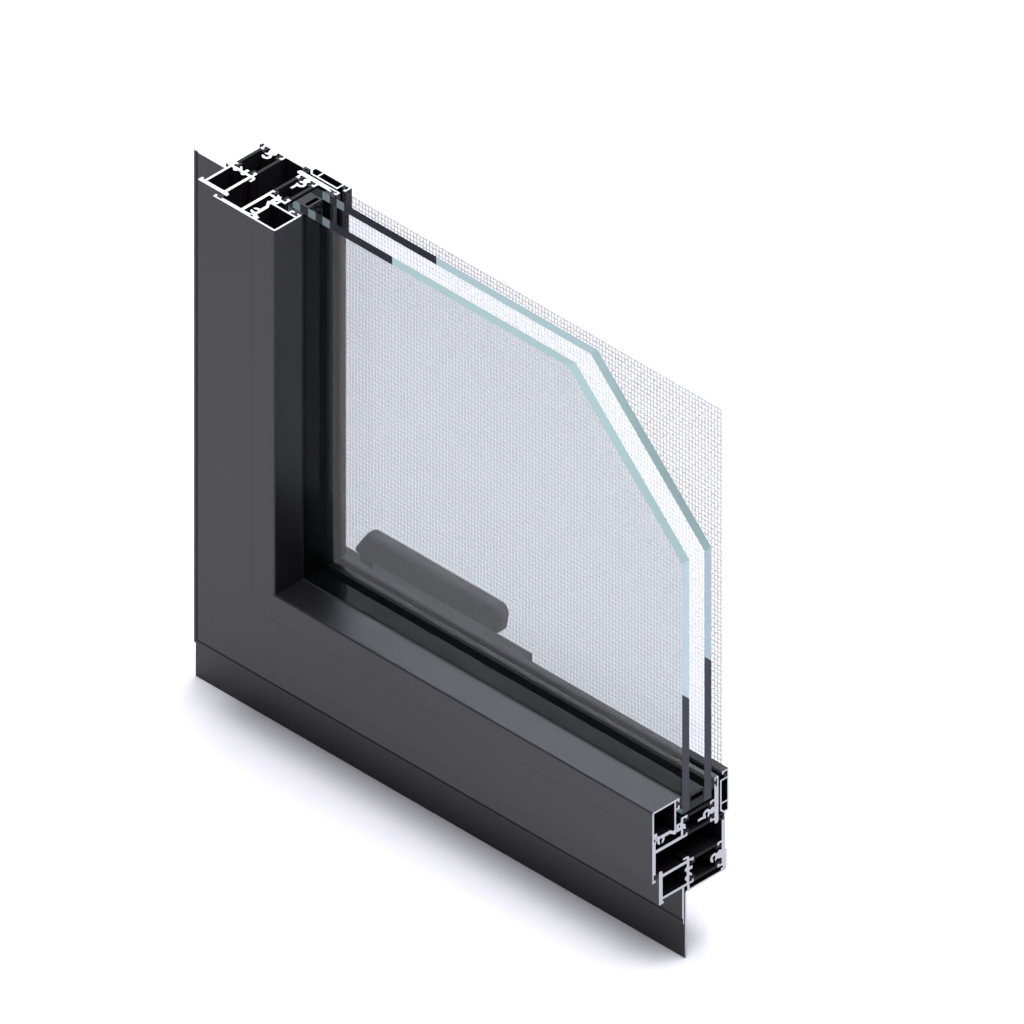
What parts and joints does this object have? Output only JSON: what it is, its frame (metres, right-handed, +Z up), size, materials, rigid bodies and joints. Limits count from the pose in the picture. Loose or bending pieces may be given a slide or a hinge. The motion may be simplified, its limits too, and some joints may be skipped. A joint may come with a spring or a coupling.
{
  "type": "corner section of a projected window",
  "caption": "Cut corner of a thermally broken aluminium projected window with double glazing, screen, crank handle and sill flashing.",
  "frame": {"origin": "middle of the flat room-side face of the sill flashing's hanging leg", "axes": "+X along the sill towards its cut end, +Y from outdoors into the room, +Z up the jamb"},
  "size_m": [0.4326, 0.098, 0.4038],
  "materials": {
    "painted_extrusion": "dark grey powder coat, bright metal where it is cut",
    "screen_frame": "dark grey powder coat, bright metal where it is cut",
    "thermal_strip": "black glass-filled polyamide, matt",
    "gasket": "black EPDM, matt",
    "spline": "black vinyl, matt",
    "pane": "clear float glass, ground edges with a green-blue tint",
    "spacer": "dark coated metal",
    "sealant": "black sealant",
    "mesh": "dark vinyl-coated fibreglass mesh",
    "flashing": "dark painted sheet",
    "operator": "dark grey enamelled casting",
    "pin": "plain steel"
  },
  "bodies": {
    "window": {"frame_jamb_exterior": "painted_extrusion", "frame_sill_exterior": "painted_extrusion", "frame_jamb_interior": "painted_extrusion", "frame_sill_interior": "painted_extrusion", "sash_stile_exterior": "painted_extrusion", "sash_rail_exterior": "painted_extrusion", "sash_stile_interior": "painted_extrusion", "sash_rail_interior": "painted_extrusion", "glazing_bead_stile": "painted_extrusion", "glazing_bead_rail": "painted_extrusion", "screen_stile": "screen_frame", "screen_rail": "screen_frame", "frame_jamb_strip_near_sash": "thermal_strip", "frame_sill_strip_near_sash": "thermal_strip", "frame_jamb_strip_near_wall": "thermal_strip", "frame_sill_strip_near_wall": "thermal_strip", "sash_stile_strip_near_glass": "thermal_strip", "sash_rail_strip_near_glass": "thermal_strip", "sash_stile_strip_near_frame": "thermal_strip", "sash_rail_strip_near_frame": "thermal_strip", "frame_jamb_weatherstrip": "gasket", "frame_sill_weatherstrip": "gasket", "sash_stile_weatherstrip": "gasket", "sash_rail_weatherstrip": "gasket", "exterior_gasket_stile": "gasket", "exterior_gasket_rail": "gasket", "interior_gasket_stile": "gasket", "interior_gasket_rail": "gasket", "screen_spline_stile": "spline", "screen_spline_rail": "spline", "exterior_pane": "pane", "interior_pane": "pane", "glass_spacer_stile": "spacer", "glass_spacer_rail": "spacer", "edge_sealant_stile": "sealant", "edge_sealant_rail": "sealant", "screen_mesh": "mesh", "sill_flashing": "flashing", "operator_base": "operator", "crank_hub": "operator", "handle_pin": "pin"},
    "handle": {"crank_handle": "operator"}
  },
  "joints": [
    {"name": "handle_fold", "type": "hinge", "parent": "window", "child": "handle", "pos_m": [-0.12175, 0.0605, 0.09475], "axis": [0, -1, 0], "range_deg": [0, 140]}
  ]
}
